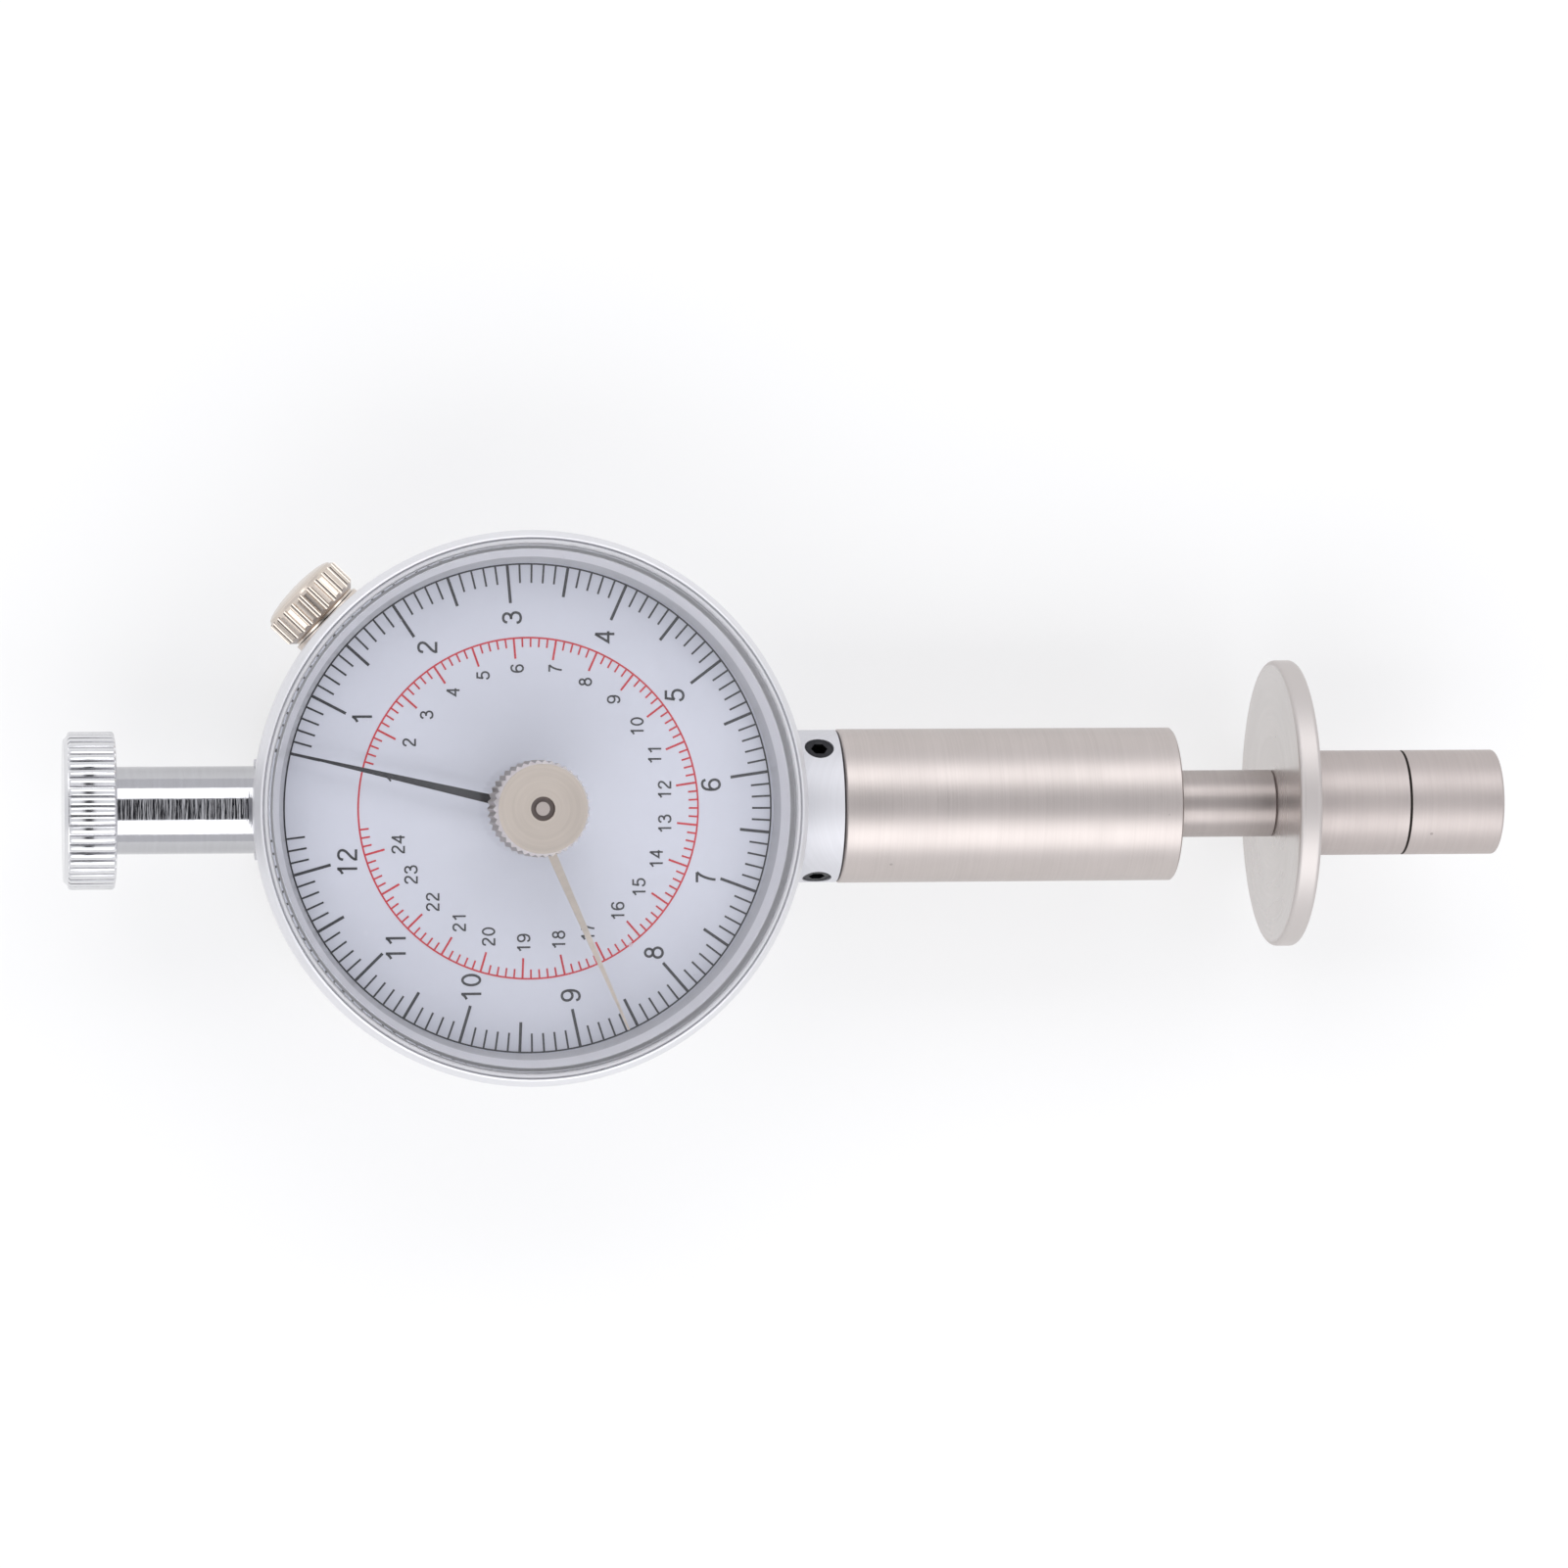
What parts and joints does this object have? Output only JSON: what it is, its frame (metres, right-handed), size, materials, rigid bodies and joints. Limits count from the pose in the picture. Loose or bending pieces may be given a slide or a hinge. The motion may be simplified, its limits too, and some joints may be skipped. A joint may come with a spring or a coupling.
{
  "type": "fruit hardness tester",
  "caption": "Handheld dial tester with a sprung round probe, guard disc, grip barrel, round dial case, peak hand and knurled knobs.",
  "frame": {"origin": "on the flat face of the case back, under the centre of the dial", "axes": "+X along the tool axis from the end knob to the press head, +Z the dial's outward normal, so the tester lies on its case back and -Z is the case back's outward normal"},
  "size_m": [0.15, 0.0566, 0.0372],
  "materials": {
    "chrome": "polished chrome plate",
    "satin_nickel": "satin nickel with a warm tone",
    "satin_steel": "fine turned steel",
    "polished_steel": "polished turned steel",
    "steel": "plain steel",
    "spring_steel": "drawn spring wire",
    "black_steel": "black oxide",
    "brass": "turned brass",
    "clear_crystal": "clear and flat",
    "seal_rubber": "matt rubber",
    "grey_gasket": "pale grey soft gasket",
    "black_paint": "black paint",
    "dial_paint": "pale blue satin paint with printed scales"
  },
  "bodies": {
    "case": {"back_cover": "satin_nickel", "cover_screws": "steel", "case_shell": "chrome", "bezel": "chrome", "crystal": "clear_crystal", "crystal_seal": "grey_gasket", "crystal_bush": "steel", "bush_nut": "steel", "stem": "chrome", "barrel_tube": "satin_nickel", "rear_bush": "brass", "front_bush": "brass", "set_screws": "black_steel", "main_spring": "spring_steel", "movement_back_plate": "brass", "movement_front_plate": "brass", "movement_pillars": "brass", "movement_screws": "steel", "base_screws": "steel", "arbor_bushes": "brass", "roller_stud": "steel", "side_bush": "brass"},
    "plunger": {"plunger_rod": "satin_steel", "rack_bar": "steel", "spring_collar": "steel", "collar_pin": "steel", "guard_disc": "polished_steel", "press_head": "satin_steel", "head_stud": "steel"},
    "pointer_arbor": {"arbor": "steel", "pinion": "brass", "pointer": "black_paint"},
    "rack_roller": {"backing_roller": "steel"},
    "reset": {"reset_knob": "satin_nickel", "reset_spindle": "steel", "peak_hand": "satin_nickel", "friction_washer": "brass"},
    "zero_knob": {"side_knob": "satin_nickel", "side_shaft": "steel", "shaft_clip": "spring_steel", "friction_roller": "seal_rubber"},
    "dial": {"dial_plate": "dial_paint"},
    "overload_stop": {"stop_pin": "steel"},
    "end_cap": {"end_knob": "chrome"}
  },
  "joints": [
    {"name": "plunger_slide", "type": "slide", "parent": "case", "child": "plunger", "axis": [-1, 0, 0], "range_m": [0, 0.00979], "stiffness_N_per_m": 11500, "springref_m": -0.00043, "deforming": ["main_spring"]},
    {"name": "pointer_spin", "type": "hinge", "parent": "case", "child": "pointer_arbor", "pos_m": [0, 0, 0.0155], "axis": [0, 0, 1], "range_deg": [-341, 0]},
    {"name": "roller_spin", "type": "hinge", "parent": "case", "child": "rack_roller", "pos_m": [0, -0.00522, 0.0155], "axis": [0, 0, 1], "range_deg": [0, 282]},
    {"name": "reset_knob_turn", "type": "hinge", "parent": "case", "child": "reset", "pos_m": [0, 0, 0.03], "axis": [0, 0, 1], "range_deg": [-124, 231]},
    {"name": "zero_knob_turn", "type": "hinge", "parent": "case", "child": "zero_knob", "pos_m": [-0.02158, 0.02084, 0.01785], "axis": [-0.7193, 0.6947, 0], "range_deg": [-360, 360]},
    {"name": "dial_turn", "type": "hinge", "parent": "case", "child": "dial", "pos_m": [0, 0, 0.0213], "axis": [0, 0, 1], "range_deg": [-53, 53]},
    {"name": "stop_feed", "type": "slide", "parent": "case", "child": "overload_stop", "axis": [-1, 0, 0], "range_m": [0, 0.00076]},
    {"name": "end_knob_turn", "type": "hinge", "parent": "overload_stop", "child": "end_cap", "pos_m": [-0.0442, 0, 0.0155], "axis": [-1, 0, 0], "range_deg": [0, 540]}
  ],
  "couplings": [
    {"joint": "pointer_spin", "follows": "plunger_slide", "rad_per_m": -606.06},
    {"joint": "roller_spin", "follows": "plunger_slide", "rad_per_m": 500},
    {"joint": "dial_turn", "follows": "zero_knob_turn", "ratio": -0.14563},
    {"joint": "stop_feed", "follows": "end_knob_turn", "m_per_rad": 0.000079577}
  ]
}
